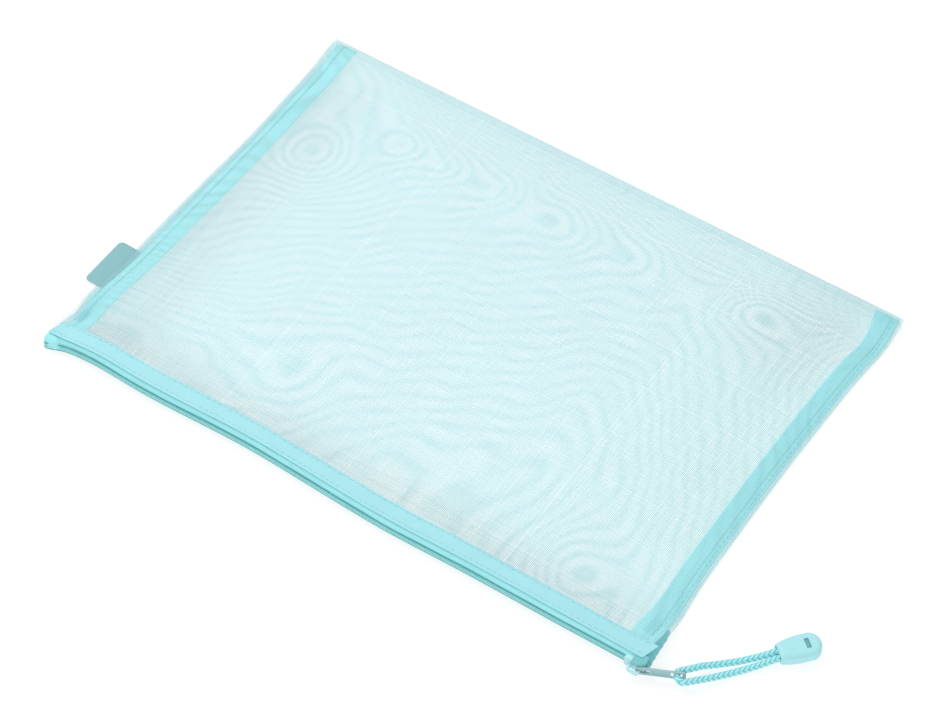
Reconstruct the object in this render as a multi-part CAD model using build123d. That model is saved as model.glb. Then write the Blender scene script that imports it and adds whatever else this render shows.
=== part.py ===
from build123d import *
import math
import os

# Mesh document wallet: a flat zipped pouch of nylon gauze, folded along its rear edge, with a cord pull.
# X runs along the zip towards the slider, Y from the zip to the fold, Z up.
# The origin is the middle of the underside. All lengths are in millimetres.

# Pouch
pouch_width = 335.0
pouch_depth = 240.0
mesh_thickness = 0.3
layer_gap = 0.1
body_clearance = 0.3
front_height = 9.3
fold_height = 6.0
crown_rise = 3.0
seam_height = 1.9
puff_power = 6
front_corner_run = 26.0
back_corner_run = 22.0
grid_step = 6.0
mouth_opening_deg = 14.0
fold_slack_deg = 4.0

# Facings that cover the zip's seams
facing_width = 9.0
facing_thickness = 0.4
flat_margin = 3.0
step_run = 2.5

# Openings in the mesh: a plain coarse grid that stands in for the gauze's fine holes
opening_columns = 12
opening_rows = 12
opening_width = 19.0
opening_depth = 8.0
opening_margin = 6.0

# Side bindings inside the pouch
binding_width = 10.4
binding_thickness = 0.9
binding_inset = 4.1
binding_back_inset = 0.6

# Side label
label_length = 29.0
label_reach = 9.6
label_thickness = 0.75
label_corner = 2.2
label_from_front = 56.0
label_gap = 0.4

# Zip: tape and coil
tape_thickness = 0.5
tape_width = 11.5
tape_end_inset = 1.0
tape_split = 0.2
coil_setback = 0.5
coil_thickness = 1.8
coil_half_height = 1.75
coil_gap = 0.1
tooth_pitch = 2.0
tooth_width = 0.8
tooth_root = 0.55
tooth_clearance = 0.1
coil_left_inset = 2.5

# Slider
slider_length = 9.2
slider_wide_half = 3.6
slider_narrow_half = 2.9
slider_rim = 0.8
slider_plate = 0.8
slider_clearance = 0.3
slider_overhang = 1.9
slider_corner = 0.9
back_plate_half = 2.9
post_length = 2.6
post_half_height = 1.1
post_end_inset = 0.6
post_point_share = 0.45
post_clearance = 0.5
bail_length = 6.2
bail_bar = 1.0
bail_width = 1.6
bail_opening = 2.8
bail_corner = 1.3

# Pull tab
tab_reach = 22.0
tab_width = 4.8
tab_thickness = 1.0
tab_angle = 25.5
tab_bar_radius = 0.55
tab_bar_play = 0.15
tab_slot_play = 0.25
tab_corner = 1.0
tab_rail = 0.6
tab_end_bar = 1.5
tab_hole_length = 5.2
tab_recess_depth = 0.15
tab_recess_margin = 1.2

# Pull cord: a loop through the tab's end hole, with both ends in the moulded cord end.
# Route points are measured from the middle of the tab's end bar.
cord_diameter = 3.2
cord_radius_share = 0.45
cord_route = [
    (30.7, 39.35, -1.15),
    (26.85, 34.75, -1.15),
    (22.3, 29.4, -2.35),
    (15.2, 21.8, -2.95),
    (7.1, 14.2, -2.95),
    (2.8, 9.7, -1.9),
    (-0.2, 4.5, -0.4),
    (-4.5, -0.25, 0.0),
    (0.2, -4.55, 0.0),
    (4.5, 0.2, -0.4),
    (8.4, 5.2, -1.7),
    (14.4, 13.0, -2.9),
    (20.9, 21.1, -2.95),
    (26.1, 28.0, -2.25),
    (29.55, 32.5, -1.15),
    (33.1, 36.75, -1.15),
]

# Moulded cord end: a hollow shell with a window, and the plug that latches in it
shell_length = 20.5
shell_height = 7.0
shell_mouth_width = 8.6
shell_full_width = 12.6
shell_full_share = 0.55
shell_tip_share = 0.78
shell_edge = 2.2
shell_corner = 3.5
cavity_width = 7.4
cavity_height = 4.0
cavity_depth = 16.0
window_across = 5.4
window_along = 2.2
window_from_tip = 5.6
plug_gap = 0.15
plug_tongue_recess = 0.7

# Thread
thread_width = 0.45
thread_height = 0.25
stitch_inset = 0.9
tack_length = 9.0
tack_width = 4.2
tack_from_edge = 6.4
tack_from_facing = 4.0

# Places worked out from the sizes above
half_width = pouch_width / 2
front_y = -pouch_depth / 2
fold_radius = fold_height / 2
fold_y = pouch_depth / 2 - fold_radius
coil_y = front_y + coil_setback
tape_y = coil_y + coil_thickness + coil_gap
facing_y = tape_y
facing_back_y = facing_y + facing_width
flat_back_y = facing_back_y + flat_margin

facing_z = front_height - facing_thickness
mesh_front_z = facing_z - layer_gap - mesh_thickness
upper_flange_z = mesh_front_z - layer_gap - tape_thickness
lower_mesh_z = facing_thickness + layer_gap
lower_flange_z = lower_mesh_z + mesh_thickness + layer_gap
chain_z = (upper_flange_z + lower_flange_z + tape_thickness) / 2
fold_top_z = fold_height - mesh_thickness
binding_lift = -body_clearance - binding_thickness
binding_back_y = fold_y - binding_back_inset

slider_right = half_width + slider_overhang
slider_left = slider_right - slider_length
plate_inner_y = coil_y - slider_clearance
plate_outer_y = plate_inner_y - slider_plate
rim_end_y = tape_y - slider_clearance
back_plate_y = tape_y + tape_thickness + slider_clearance
post_right = slider_right - post_end_inset
post_left = post_right - post_length
bail_right = slider_right + layer_gap
bail_inner_right = bail_right - bail_bar

pivot = Vector(
    bail_inner_right - tab_bar_radius - tab_bar_play,
    plate_outer_y - bail_opening / 2,
    chain_z,
)
tab_direction = Vector(math.cos(math.radians(tab_angle)), math.sin(math.radians(tab_angle)), 0)
end_bar = pivot + tab_direction * (tab_reach - tab_end_bar / 2)


def block(x0, x1, y0, y1, z0, z1):
    """A box between two corners."""
    return Pos(x0, y0, z0) * Box(x1 - x0, y1 - y0, z1 - z0, align=Align.MIN)


def ease(t):
    """A smooth step from 0 to 1 with level ends."""
    t = min(max(t, 0.0), 1.0)
    return t * t * (3 - 2 * t)


def upper_height(x, y):
    """Underside of the upper mesh: a crown between the zip and the fold, low at the side seams."""
    run = min(max((y - flat_back_y) / (fold_y - flat_back_y), 0.0), 1.0)
    crown = mesh_front_z + (fold_top_z - mesh_front_z) * ease(run)
    crown += crown_rise * math.sin(math.pi * run) ** 2
    side = seam_height
    side += (mesh_front_z - seam_height) * ease(1 - (y - flat_back_y) / front_corner_run)
    side += (fold_top_z - seam_height) * ease((y - fold_y + back_corner_run) / back_corner_run)
    return side + (crown - side) * (1 - abs(x / half_width) ** puff_power)


def mesh_openings(z0, z1):
    """Blocks that open a mesh sheet in a plain grid, clear of the bindings, the facings and the fold."""
    x0 = -half_width + binding_inset + binding_width + opening_margin
    y0 = flat_back_y + step_run + opening_margin
    x_cell = -2 * x0 / opening_columns
    y_cell = (fold_y - opening_margin - y0) / opening_rows
    first_x = x0 + (x_cell - opening_width) / 2
    first_y = y0 + (y_cell - opening_depth) / 2
    corners = [
        (first_x + i * x_cell, first_y + j * y_cell)
        for i in range(opening_columns) for j in range(opening_rows)
    ]
    return [block(x, x + opening_width, y, y + opening_depth, z0, z1) for x, y in corners]


def draped_sheet(x0, x1, y0, y1, lift, thickness, openings=()):
    """A sheet that follows the upper mesh over a rectangle, lifted by a set height."""
    columns = max(round((x1 - x0) / grid_step), 4)
    rows = max(round((y1 - y0) / grid_step), 4)
    xs = [x0 + (x1 - x0) * i / columns for i in range(columns + 1)]
    ys = [y0 + (y1 - y0) * j / rows for j in range(rows + 1)]
    points = [[Vector(x, y, upper_height(x, y) + lift) for y in ys] for x in xs]
    face = Face.make_surface_from_array_of_points(points)
    if openings:
        face = face.cut(*openings).face()
    return Solid.extrude(face, Vector(0, 0, thickness))


def mesh_upper_panel():
    """The puffed upper sheet, from the zip seam to the top of the fold, with its grid of openings."""
    openings = mesh_openings(0, front_height + crown_rise)
    return draped_sheet(-half_width, half_width, facing_y, fold_y, 0, mesh_thickness, openings)


def mesh_lower_panel():
    """The flat lower sheet, opened in a grid, stepped over its facing and rolled up round the fold."""
    open_deg = mouth_opening_deg + fold_slack_deg
    inner = fold_radius - mesh_thickness
    turn = math.radians(90 - open_deg)
    outer_end = (fold_y + fold_radius * math.cos(turn), fold_radius + fold_radius * math.sin(turn))
    inner_end = (fold_y + inner * math.cos(turn), fold_radius + inner * math.sin(turn))
    step_y = flat_back_y + step_run
    top = mesh_thickness
    with BuildSketch(Plane.YZ) as section:
        with BuildLine():
            Line((fold_y, 0), (step_y, 0))
            Line((step_y, 0), (flat_back_y, lower_mesh_z))
            Line((flat_back_y, lower_mesh_z), (facing_y, lower_mesh_z))
            Line((facing_y, lower_mesh_z), (facing_y, lower_mesh_z + top))
            Line((facing_y, lower_mesh_z + top), (flat_back_y, lower_mesh_z + top))
            Line((flat_back_y, lower_mesh_z + top), (step_y, top))
            Line((step_y, top), (fold_y, top))
            RadiusArc((fold_y, top), inner_end, -inner)
            Line(inner_end, outer_end)
            RadiusArc(outer_end, (fold_y, 0), fold_radius)
        make_face()
    sheet = extrude(section.sketch, amount=half_width, both=True)
    return sheet - mesh_openings(0, mesh_thickness)


def zip_facing(z):
    """A cloth band along the zip."""
    return block(-half_width, half_width, facing_y, facing_back_y, z, z + facing_thickness)


def side_binding(side):
    """The folded tape that binds the raw edges of a side seam, inside the pouch."""
    outer = half_width - binding_inset
    low, high = sorted((side * outer, side * (outer - binding_width)))
    return draped_sheet(low, high, flat_back_y, binding_back_y, binding_lift, binding_thickness)


def side_label():
    """A folded label held in the left seam, rounded at its outer corners."""
    inner_x = -half_width + binding_inset - label_gap - thread_width - label_gap
    z = (mesh_thickness + seam_height - label_thickness) / 2
    y0 = front_y + label_from_front - label_length / 2
    plate = block(-half_width - label_reach, inner_x, y0, y0 + label_length, z, z + label_thickness)
    corners = plate.edges().filter_by(Axis.Z).sort_by(Axis.X)[:2]
    return fillet(corners, label_corner)


def front_prism(sketch, y0, y1):
    """A sketch in X and Z, carried from one depth to another."""
    return extrude(Plane.XZ.offset(-y0) * sketch, amount=y1 - y0, dir=(0, 1, 0))


def zip_tape(up):
    """A tape with its web standing at the front and its flange turned in under the mesh."""
    x0, x1 = -half_width + tape_end_inset, half_width - tape_end_inset
    flange_z = upper_flange_z if up > 0 else lower_flange_z
    flange = block(x0, x1, tape_y, tape_y + tape_width, flange_z, flange_z + tape_thickness)
    far_z = flange_z + tape_thickness if up > 0 else flange_z
    near_z = chain_z + up * tape_split
    notch_z = chain_z + up * (post_half_height + post_clearance)
    notch_x = post_left - post_clearance
    outline = [(x0, near_z), (notch_x, near_z), (notch_x, notch_z), (x1, notch_z), (x1, far_z), (x0, far_z)]
    web = front_prism(Polygon(*outline, align=None), tape_y, tape_y + tape_thickness)
    return flange + web


def zip_teeth(up):
    """One side of the coil: a spine with a row of teeth that pass between the other side's."""
    x0 = -half_width + coil_left_inset + (tooth_pitch / 2 if up > 0 else 0)
    count = math.floor((post_left - post_clearance - x0) / tooth_pitch)
    spine, tip, back = tooth_root, -tooth_root + tooth_clearance, coil_half_height
    outline = [(x0, back)]
    for i in range(count):
        left = x0 + (2 * i + 1) * tooth_pitch / 2 - tooth_width / 2
        right = left + tooth_width
        outline += [(left, spine), (left, tip), (right, tip), (right, spine)]
    outline.append((x0 + count * tooth_pitch, back))
    outline.insert(1, (x0, spine))
    outline.insert(-1, (x0 + count * tooth_pitch, spine))
    placed = [(x, chain_z + up * z) for x, z in outline]
    return front_prism(Polygon(*placed, align=None), coil_y, coil_y + coil_thickness)


def slider_outline(shrink, overrun):
    """The slider's plate seen from the front, wide at the end where the zip parts."""
    narrow, wide = slider_narrow_half - shrink, slider_wide_half - shrink
    left, right = slider_left - overrun, slider_right + overrun
    corners = [(left, -narrow), (right, -wide), (right, wide), (left, narrow)]
    return Polygon(*[(x, chain_z + z) for x, z in corners], align=None)


def slider_body():
    """The cast slider: front plate with rims, back plate, dividing post and bail."""
    front = front_prism(slider_outline(0, 0), plate_outer_y, rim_end_y)
    front = fillet(front.edges().filter_by(Axis.Y), slider_corner)
    front -= front_prism(slider_outline(slider_rim, slider_rim), plate_inner_y, rim_end_y)
    back = block(
        slider_left, slider_right, back_plate_y, back_plate_y + slider_plate,
        chain_z - back_plate_half, chain_z + back_plate_half,
    )
    back = fillet(back.edges().filter_by(Axis.Y), slider_corner)
    shoulder = post_left + post_point_share * post_length
    post_outline = [
        (post_left, 0), (shoulder, -post_half_height), (post_right, -post_half_height / 2),
        (post_right, post_half_height / 2), (shoulder, post_half_height),
    ]
    post_sketch = Polygon(*[(x, chain_z + z) for x, z in post_outline], align=None)
    post = front_prism(post_sketch, plate_inner_y, back_plate_y)
    bail_z = (chain_z - bail_width / 2, chain_z + bail_width / 2)
    bail_left = bail_right - bail_length
    bail_top = plate_outer_y - bail_opening - bail_bar
    bail = block(bail_left, bail_right, bail_top, plate_outer_y, *bail_z)
    bail = fillet(bail.edges().filter_by(Axis.Z).sort_by(Axis.Y)[:2], bail_corner)
    opening = block(
        bail_left + bail_bar, bail_inner_right, plate_outer_y - bail_opening, plate_outer_y, *bail_z
    )
    bail -= fillet(opening.edges().filter_by(Axis.Z).sort_by(Axis.Y)[:2], bail_corner - bail_bar / 2)
    return front + back + post + bail


def pull_tab():
    """A flat tab with a slot over the bail, a round pivot bar, and an end hole for the cord."""
    half = tab_width / 2
    slot_end = bail_length - tab_bar_radius - tab_bar_play + tab_slot_play
    slot_half = bail_width / 2 + tab_slot_play
    hole_right = tab_reach - tab_end_bar
    hole_left = hole_right - tab_hole_length
    depth = tab_thickness / 2
    plate = block(0, tab_reach, -depth, depth, -half, half)
    plate = fillet(plate.edges().filter_by(Axis.Y).sort_by(Axis.X)[2:], tab_corner)
    plate -= block(0, slot_end, -depth, depth, -slot_half, slot_half)
    plate -= block(hole_left, hole_right, -depth, depth, tab_rail - half, half - tab_rail)
    panel_x = (slot_end + tab_recess_margin, hole_left - tab_recess_margin)
    panel_z = (tab_recess_margin - half, half - tab_recess_margin)
    for y in (depth - tab_recess_depth, -depth):
        plate -= block(*panel_x, y, y + tab_recess_depth, *panel_z)
    bar = Cylinder(tab_bar_radius, tab_width)
    return Location(pivot, (0, 0, tab_angle)) * (plate + bar)


def cord_path():
    """Straight runs joined by arcs, each as large as its shorter run allows."""
    points = [end_bar + Vector(*p) for p in cord_route]
    runs = [b - a for a, b in zip(points, points[1:])]
    radii = []
    for before, after in zip(runs, runs[1:]):
        half_turn = math.radians(before.get_angle(after)) / 2
        shorter = min(before.length, after.length)
        radii.append(cord_radius_share * shorter / math.tan(half_turn))
    print("cord radii", [round(r, 1) for r in radii])
    return FilletPolyline(*points, radius=radii)


def pull_cord():
    """The round braided cord, as a plain tube along its route."""
    path = cord_path()
    section = Plane(path @ 0, z_dir=path % 0) * Circle(cord_diameter / 2)
    tube = sweep(section, path=path)
    expected = math.pi * cord_diameter ** 2 / 4 * path.length
    print("cord length", round(path.length, 1), "volume", round(tube.volume, 1), "of", round(expected, 1))
    return tube


def at_cord_end(shape):
    """Place a cord-end piece, drawn with its mouth at the origin, where the two strands meet."""
    points = [end_bar + Vector(*p) for p in cord_route]
    mouth = (points[1] + points[-2]) / 2
    inner = (points[0] + points[-1]) / 2
    turn = math.degrees(math.atan2(inner.Y - mouth.Y, inner.X - mouth.X))
    return Location((mouth.X, mouth.Y, shell_height / 2), (0, 0, turn)) * shape


def cord_end_shell():
    """The moulded shell: a flared, rounded body with a cavity and a latch window."""
    mouth, full = shell_mouth_width / 2, shell_full_width / 2
    full_x, tip_x = shell_full_share * shell_length, shell_tip_share * shell_length
    with BuildSketch() as plan:
        with BuildLine():
            Line((0, -mouth), (0, mouth))
            TangentArc((full_x, full), (0, mouth), tangent=(-1, 0))
            Line((full_x, full), (tip_x, full))
            ThreePointArc((tip_x, full), (shell_length, 0), (tip_x, -full))
            Line((tip_x, -full), (full_x, -full))
            TangentArc((full_x, -full), (0, -mouth), tangent=(-1, 0))
        make_face()
        fillet(plan.vertices().filter_by_position(Axis.X, tip_x, tip_x), shell_corner)
    body = extrude(plan.sketch, amount=shell_height / 2, both=True)
    body = fillet(body.edges().group_by(Axis.Z)[-1] + body.edges().group_by(Axis.Z)[0], shell_edge)
    body -= block(
        0, cavity_depth, -cavity_width / 2, cavity_width / 2, -cavity_height / 2, cavity_height / 2
    )
    body -= window_block(0, shell_height / 2)
    return at_cord_end(body)


def window_block(inset, top):
    """The latch window's prism, or the plug's tongue if it is drawn in by an inset."""
    x1 = shell_length - window_from_tip - inset
    x0 = x1 - window_along + 2 * inset
    half = window_across / 2 - inset
    return block(x0, x1, -half, half, 0, top)


def cord_end_plug():
    """The plug in the shell's cavity, whose tongue latches in the window."""
    strand_end = (Vector(*cord_route[0]) - Vector(*cord_route[1])).length
    half_width_in = cavity_width / 2 - plug_gap
    half_height = cavity_height / 2 - plug_gap
    body = block(
        strand_end + plug_gap, cavity_depth - plug_gap,
        -half_width_in, half_width_in, -half_height, half_height,
    )
    body += window_block(plug_gap, shell_height / 2 - plug_tongue_recess)
    return at_cord_end(body)


def facing_stitches(z):
    """Two rows of stitching along a facing."""
    rows = []
    first_y = facing_y + tape_thickness + stitch_inset
    for y in (first_y, facing_back_y - stitch_inset - thread_width):
        x = half_width - stitch_inset
        rows.append(block(-x, x, y, y + thread_width, z, z + thread_height))
    return Compound(children=rows)


def seam_stitches(side):
    """The row of stitching beside a binding, between the two sheets."""
    near = half_width - binding_inset + label_gap
    low, high = sorted((side * near, side * (near + thread_width)))
    return draped_sheet(low, high, flat_back_y, binding_back_y, binding_lift, binding_thickness)


def corner_bar_tacks():
    """A dense patch of stitches on each side seam, just behind the upper facing."""
    y0 = facing_back_y + tack_from_facing
    lift = mesh_thickness + layer_gap
    tacks = []
    for side in (-1, 1):
        x = side * (half_width - tack_from_edge)
        tacks.append(
            draped_sheet(x - tack_width / 2, x + tack_width / 2, y0, y0 + tack_length, lift, thread_height)
        )
    return Compound(children=tacks)


nodes = {
    "mesh_upper_panel": mesh_upper_panel(),
    "mesh_lower_panel": mesh_lower_panel(),
    "upper_zip_facing": zip_facing(facing_z),
    "lower_zip_facing": zip_facing(0),
    "left_side_binding": side_binding(-1),
    "right_side_binding": side_binding(1),
    "side_label": side_label(),
    "upper_zip_tape": zip_tape(1),
    "lower_zip_tape": zip_tape(-1),
    "upper_zip_teeth": zip_teeth(1),
    "lower_zip_teeth": zip_teeth(-1),
    "slider_body": slider_body(),
    "pull_tab": pull_tab(),
    "pull_cord": pull_cord(),
    "cord_end_shell": cord_end_shell(),
    "cord_end_plug": cord_end_plug(),
    "upper_facing_stitches": facing_stitches(front_height),
    "lower_facing_stitches": facing_stitches(lower_flange_z + tape_thickness),
    "left_seam_stitches": seam_stitches(-1),
    "right_seam_stitches": seam_stitches(1),
    "corner_bar_tacks": corner_bar_tacks(),
}

os.makedirs("parts", exist_ok=True)
for name, shape in nodes.items():
    export_step(shape, f"parts/{name}.step")
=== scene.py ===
import math

import bpy
import numpy as np
from bpy.props import FloatProperty, FloatVectorProperty, PointerProperty
from bpy.types import Operator, Panel, PropertyGroup
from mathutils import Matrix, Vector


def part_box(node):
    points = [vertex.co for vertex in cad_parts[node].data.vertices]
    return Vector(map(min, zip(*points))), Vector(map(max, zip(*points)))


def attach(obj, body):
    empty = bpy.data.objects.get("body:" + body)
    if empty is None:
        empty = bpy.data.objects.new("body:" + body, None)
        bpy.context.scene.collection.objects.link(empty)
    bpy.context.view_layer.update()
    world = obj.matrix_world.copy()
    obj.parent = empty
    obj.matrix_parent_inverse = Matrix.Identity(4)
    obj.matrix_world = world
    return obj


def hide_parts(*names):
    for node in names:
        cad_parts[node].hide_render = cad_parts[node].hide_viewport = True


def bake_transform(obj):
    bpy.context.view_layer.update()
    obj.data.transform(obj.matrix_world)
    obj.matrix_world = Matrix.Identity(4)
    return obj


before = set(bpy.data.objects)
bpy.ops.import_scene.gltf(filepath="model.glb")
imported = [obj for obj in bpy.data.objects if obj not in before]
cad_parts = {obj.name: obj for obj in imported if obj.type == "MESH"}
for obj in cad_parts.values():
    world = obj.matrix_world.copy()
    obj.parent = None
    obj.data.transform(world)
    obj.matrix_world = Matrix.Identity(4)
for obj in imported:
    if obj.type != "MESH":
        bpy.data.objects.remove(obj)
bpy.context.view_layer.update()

bl_info = {
    "name": "Mesh document wallet",
    "version": (1, 0, 0),
    "blender": (4, 5, 0),
    "location": "3D View > Sidebar > Wallet",
    "description": "Dresses a zipped mesh wallet: gauze, bindings, zip, stitches, label and cord pull",
    "category": "Add Mesh",
}

# Shapes are worked out in millimetres in the part's own frame: X along the zip, Y to the fold, Z up.
MM = 0.001
UPWARDS = np.array((0, 0, 1.0))


def box_mm(node):
    """Lowest and highest corner of a solid, in millimetres."""
    return np.array(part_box(node)) / MM


PANEL = box_mm("mesh_upper_panel")
ROLLED = box_mm("mesh_lower_panel")
FACING = box_mm("upper_zip_facing")
LOWER_FACING = box_mm("lower_zip_facing")
BINDING = box_mm("right_side_binding")
LABEL = box_mm("side_label")
CHAIN = box_mm("upper_zip_teeth")
LOWER_CHAIN = box_mm("lower_zip_teeth")
TAPE = box_mm("upper_zip_tape")
SEAM = box_mm("right_seam_stitches")
TACKS = box_mm("corner_bar_tacks")

HALF_WIDTH = PANEL[1, 0]
FRONT_Y = PANEL[0, 1]
FOLD_Y = PANEL[1, 1]
FOLD_RADIUS = ROLLED[1, 1] - FOLD_Y
FACING_BACK_Y = FACING[1, 1]
FLAT_BACK_Y = BINDING[0, 1]
CHAIN_Z = (CHAIN[1, 2] + LOWER_CHAIN[0, 2]) / 2

# Heights of the gauze: at the zip, at the fold, on the side seams and in the crown between them
MESH_THICKNESS = 0.3
LAYER_GAP = 0.1
FRONT_Z = FACING[0, 2] - MESH_THICKNESS - LAYER_GAP
FOLD_Z = 2 * FOLD_RADIUS - MESH_THICKNESS
SEAM_Z = 1.9
CROWN = 3.0
PUFF_POWER = 6
SLACK = 0.5
FRONT_CORNER_RUN = 26.0
BACK_CORNER_RUN = 22.0
LOWER_STEP = 0.5
LOWER_STEP_RUN = 2.5

# The sides: how far the gauze rolls at a seam, and how far in from a binding's edge its seam is sewn
SEAM_ROLL = 0.9
SEAM_REACH = HALF_WIDTH - SEAM_ROLL
SEAM_INSET = 3.4

# Waves in the zip's line and in the side seams: height, middle and spread
ZIP_WAVES = ((1.7, -52, 26), (-1.1, 32, 22), (1.0, -137, 13))
LEFT_WAVES = ((2.0, -84, 13), (-2.4, -99, 6), (-1.4, 42, 26), (0.4, 108, 10))
RIGHT_WAVES = ((2.2, -91, 14), (-1.6, 12, 48), (1.5, 100, 12))
SIDE_POWER = 8

# How the zip hangs: its sag, and the further sag, droop and forward swing of its left end
ZIP_SAG = 0.9
END_SAG = 1.4
END_DROOP = 2.2
END_SWING = 3.0

# Painted shade on the gauze, as shares of its colour: by the left seam, along the zip, in the far right
# corner and at the fold
LEFT_SHADE = 0.15
FRONT_SHADE = 0.2
CORNER_SHADE = 0.15
FOLD_SHADE = 0.035

# How far the fringes widen the upper threads, and how far a loom sets threads off their places, as shares
FRINGE = 0.46
LOOM_ERROR = 0.055

# How far wefts lie over warps
WEFT_RISE = 0.04

# Place above the front right corner from which the lower threads show between the upper ones
VIEWER = (548.4, -815.3, 1216.3)

# The camera, in metres and degrees
CAMERA_PLACE = (0.5484, -0.81532, 1.21634)
CAMERA_TURN = (38.443, 0.0, 33.952)
CAMERA_VIEW = 16.632

# The pull cord's route, in metres
CORD_ROUTE = np.array([
    (0.21768, -0.07350, 0.00350), (0.21383, -0.07810, 0.00350), (0.20928, -0.08345, 0.00230),
    (0.20218, -0.09105, 0.00170), (0.19408, -0.09865, 0.00170), (0.18978, -0.10315, 0.00275),
    (0.18678, -0.10835, 0.00425), (0.18248, -0.11310, 0.00465), (0.18718, -0.11740, 0.00465),
    (0.19148, -0.11265, 0.00425), (0.19538, -0.10765, 0.00295), (0.20138, -0.09985, 0.00175),
    (0.20788, -0.09175, 0.00170), (0.21308, -0.08485, 0.00240), (0.21653, -0.08035, 0.00350),
    (0.22008, -0.07610, 0.00350),
])

# Closed rings in the fringes of the gauze: middle in X and Y, radius, and rise in fringes
RINGS = (
    (-131, 48, 15, 3.5), (-97, 76, 9, 1.6), (-72, 75, 8, 1.4), (-44, 76, 9, 1.6), (-7, 75, 10, 1.6),
    (35, 76, 9, 1.4), (113, 81, 12, 3.2), (122, -94, 13, 2.5), (47, -94, 19, 1.8), (-57, -71, 17, 1.6),
)


def linear(hex_code):
    """An sRGB hex colour as linear red, green and blue."""
    srgb = np.array([int(hex_code[i:i + 2], 16) for i in (1, 3, 5)]) / 255
    return tuple(np.where(srgb <= 0.04045, srgb / 12.92, ((srgb + 0.055) / 1.055) ** 2.4))


def length(name, description, millimetres):
    """A length property given in millimetres."""
    return FloatProperty(
        name=name, description=description, default=millimetres * MM, min=0.0, unit="LENGTH", precision=5
    )


def colour(name, description, hex_code):
    """A colour property given as sRGB hex."""
    return FloatVectorProperty(
        name=name, description=description, default=linear(hex_code), size=3, subtype="COLOR",
        min=0.0, max=1.0,
    )


class WalletSizes(PropertyGroup):
    """Sizes of the soft pieces that a user would change."""

    # The threads are drawn coarser than the real ones, which lie about 0.5 mm apart, so that they show
    thread_pitch: length("Thread pitch", "Spacing of the gauze's threads", 0.75)
    thread_width: length("Thread width", "Width of one gauze thread", 0.29)
    coil_pitch: length("Coil pitch", "Length of one turn of the zip's coil", 1.25)
    coil_wire: length("Coil wire", "Diameter of the coil's nylon wire", 0.5)
    stitch_pitch: length("Stitch pitch", "Length of one stitch and its gap", 3.2)
    stitch_length: length("Stitch length", "Length of the thread that shows", 2.3)
    cord_diameter: length("Cord diameter", "Diameter of the braided cord", 3.2)
    braid_pitch: length("Braid pitch", "Length of one chevron of the braid", 2.5)


class WalletColours(PropertyGroup):
    """Colours of the finishes."""

    gauze: colour("Gauze", "Dyed nylon thread", "#ADE3E8")
    binding: colour("Binding", "Side binding tape", "#B2F6FC")
    facing: colour("Facing", "Zip facing cloth", "#A4E4EC")
    tape: colour("Zip tape", "Woven zip tape", "#A2F0F4")
    # The tape end's colour is the tape's, darkened as painted shade
    shaded_end_colour: colour("Tape end", "Heat-cut end of the zip tape", "#7DCCD1")
    coil: colour("Coil", "Nylon coil", "#A0EAEA")
    label: colour("Label", "Side label", "#7DB6BD")
    metal: colour("Paint", "Painted slider", "#ACE3E8")
    tab: colour("Tab paint", "Painted pull tab", "#8FB8BD")
    cord: colour("Cord", "Braided cord", "#9BE9EF")
    # The coil thread is a real thread, coloured dark as painted shade where coil meets tape
    coil_thread: colour("Coil thread", "Thread that sews the coil to its tape", "#4E9CA2")
    moulding: colour("Moulding", "Moulded cord end", "#ABE7EE")
    plug: colour("Plug", "Latch plug in the cord end", "#6FB0B6")
    thread: colour("Thread", "Sewing thread", "#92D7DF")


def ease(t):
    """A smooth step from 0 to 1 with level ends."""
    t = np.clip(t, 0, 1)
    return t * t * (3 - 2 * t)


def mound(x, y, middle_x, middle_y, radius):
    """A Gaussian mound of height 1."""
    return np.exp(-((x - middle_x) ** 2 + (y - middle_y) ** 2) / (2 * radius ** 2))


def upper_z(x, y):
    """Underside of the upper gauze: a crown from zip to fold on low side seams.

    The crown fades out to the sides by 1 - |x / half width| ^ 6, and broad sine waves leave it a little
    slack."""
    run = np.clip((y - FLAT_BACK_Y) / (FOLD_Y - FLAT_BACK_Y), 0, 1)
    crown = FRONT_Z + (FOLD_Z - FRONT_Z) * ease(run) + CROWN * np.sin(np.pi * run) ** 2
    side = SEAM_Z + (FRONT_Z - SEAM_Z) * ease(1 - (y - FLAT_BACK_Y) / FRONT_CORNER_RUN)
    side = side + (FOLD_Z - SEAM_Z) * ease((y - FOLD_Y + BACK_CORNER_RUN) / BACK_CORNER_RUN)
    puff = 1 - np.abs(x / HALF_WIDTH) ** PUFF_POWER
    slack = SLACK * np.sin(x / 23 + 1) * np.sin(y / 31 + 0.5) * np.sin(np.pi * run) ** 2 * puff
    return side + (crown - side) * puff + slack - droop(x, y)


def droop(x, y):
    """The zip's left end sags by a Gaussian in X that fades out behind the facing."""
    spread, back_y, run = 17, -72, 34
    return END_DROOP * np.exp(-((x + HALF_WIDTH) / spread) ** 2) * ease((back_y - y) / run)


def lower_z(y):
    """Middle of the lower gauze: flat, with a step up over its facing."""
    return MESH_THICKNESS / 2 + LOWER_STEP * (1 - ease((y - FLAT_BACK_Y) / LOWER_STEP_RUN))


def hump(t, middle, spread):
    """A Gaussian wave of height 1 along one direction."""
    return np.exp(-((t - middle) / spread) ** 2 / 2)


def waves(t, rows):
    """A sum of Gaussian waves, each given by its height, middle and spread."""
    return sum(height * hump(t, middle, spread) for height, middle, spread in rows)


def zip_bow(x):
    """The zip's line wanders forwards and back by Gaussian waves along X."""
    return waves(x, ZIP_WAVES)


def zip_sag(x):
    """The coil hangs a little low away from the slider's closed end, and lower still at the left end."""
    closed_spread, left_spread = 35, 14
    closed = np.exp(-((x - HALF_WIDTH) / closed_spread) ** 2)
    return ZIP_SAG * (1 - closed) + END_SAG * np.exp(-((x + HALF_WIDTH) / left_spread) ** 2)


def zip_swing(x):
    """How far the coil swings forward round the zip's rounded left end."""
    spread = 8
    return END_SWING * np.exp(-((x + HALF_WIDTH) / spread) ** 2)


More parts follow.
